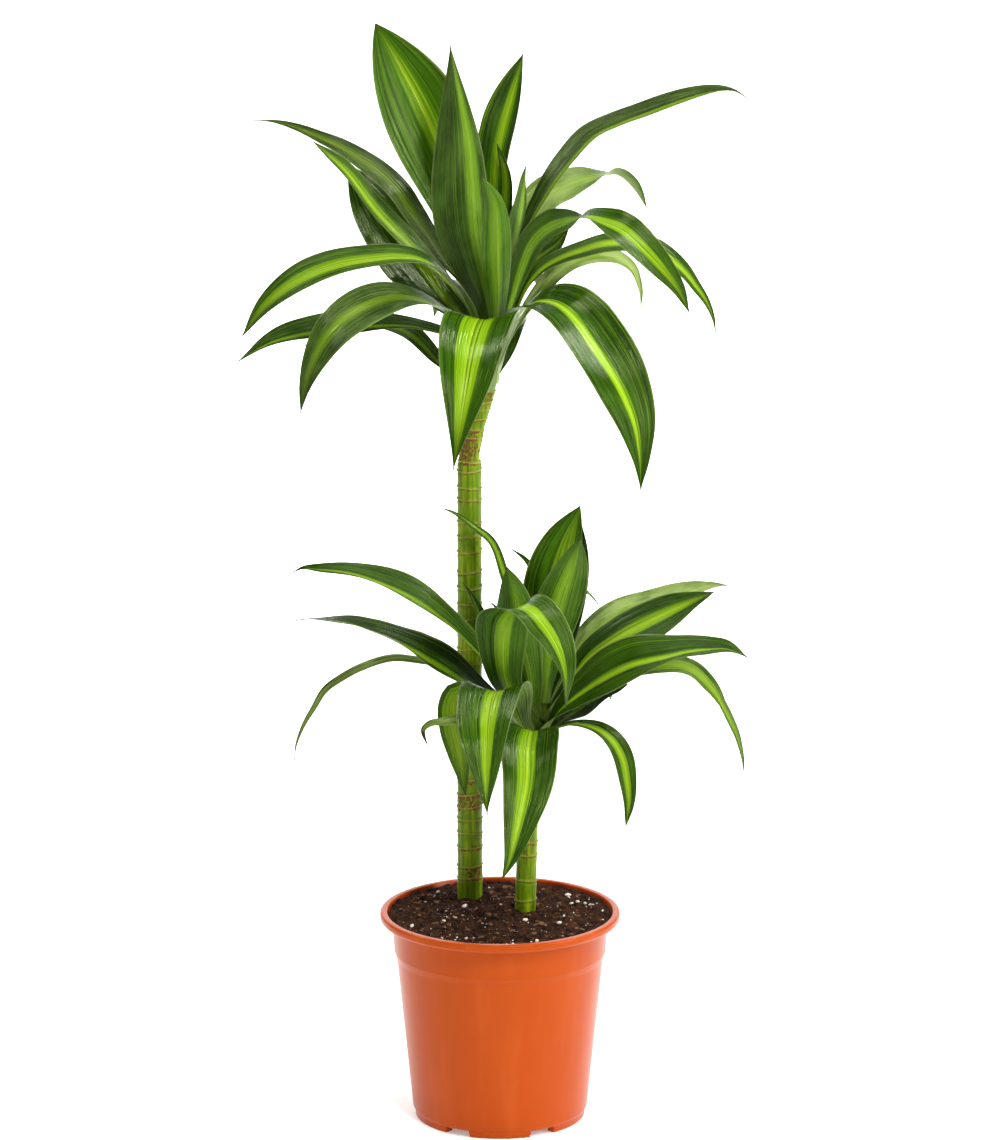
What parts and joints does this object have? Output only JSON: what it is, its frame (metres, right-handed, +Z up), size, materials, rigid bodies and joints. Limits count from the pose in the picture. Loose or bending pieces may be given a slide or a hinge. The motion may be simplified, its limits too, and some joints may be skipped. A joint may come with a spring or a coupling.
{
  "type": "potted corn plant",
  "caption": "Potted corn plant with ringed canes of different height, each topped by arching green leaves with yellow-green stripes, in soil in a round tapered pot.",
  "frame": {"origin": "on the floor below the middle of the pot, which is also the middle of the whole plant seen from above, within a few millimetres", "axes": "+Z up from the floor along the canes; the pot's front, towards which the front leaves hang, faces -Y; +X to the right of someone looking at the front"},
  "size_m": [0.3579, 0.2479, 0.7692],
  "materials": {
    "pot": "satin terracotta-coloured plastic, a little darker inside",
    "soil": null,
    "cane": "smooth green-brown cane with thin tan leaf-scar rings and brown corky patches",
    "leaf": null
  },
  "bodies": {
    "root": {"pot": "pot", "soil": "soil", "tall_cane": "cane", "short_cane": "cane", "upper_leaf_front_hanging": "leaf", "upper_leaf_right_front_large": "leaf", "upper_leaf_left_hanging": "leaf", "upper_leaf_left_long": "leaf", "upper_leaf_back_left_low": "leaf", "upper_leaf_left_folded_arch": "leaf", "upper_leaf_back_left_broad": "leaf", "upper_leaf_left_striped": "leaf", "upper_leaf_left_high_arch": "leaf", "upper_leaf_back_left_upright": "leaf", "upper_leaf_back_right_upright": "leaf", "upper_leaf_centre_upright": "leaf", "upper_leaf_inner_front": "leaf", "upper_leaf_right_short_upright": "leaf", "upper_leaf_thin_upright": "leaf", "upper_leaf_right_pointed": "leaf", "upper_leaf_right_long_thin": "leaf", "upper_leaf_right_back_arch": "leaf", "upper_leaf_right_twisted": "leaf", "upper_leaf_right_low_arch": "leaf", "upper_leaf_right_back_thin": "leaf", "upper_leaf_rear_drooping": "leaf", "upper_leaf_rear_left": "leaf", "upper_leaf_rear_right": "leaf", "lower_leaf_front_hanging": "leaf", "lower_leaf_front_left_hanging": "leaf", "lower_leaf_left_striped_hanging": "leaf", "lower_leaf_left_dry_tip": "leaf", "lower_leaf_front_arch": "leaf", "lower_leaf_front_upright": "leaf", "lower_leaf_right_low": "leaf", "lower_leaf_right_large": "leaf", "lower_leaf_right_under": "leaf", "lower_leaf_right_striped": "leaf", "lower_leaf_right_high": "leaf", "lower_leaf_right_back_hanging": "leaf", "lower_leaf_back_right_thin": "leaf", "lower_leaf_left_high_arch": "leaf", "lower_leaf_left_arch": "leaf", "lower_leaf_left_drooping": "leaf", "lower_leaf_left_thin": "leaf", "lower_leaf_left_small": "leaf", "lower_leaf_back_left_small": "leaf", "lower_leaf_back_thin": "leaf", "lower_leaf_back_upright": "leaf", "lower_leaf_right_upright": "leaf", "lower_leaf_back_right_upright": "leaf", "lower_leaf_rear": "leaf", "lower_leaf_rear_left": "leaf", "lower_leaf_rear_right": "leaf"}
  },
  "joints": []
}
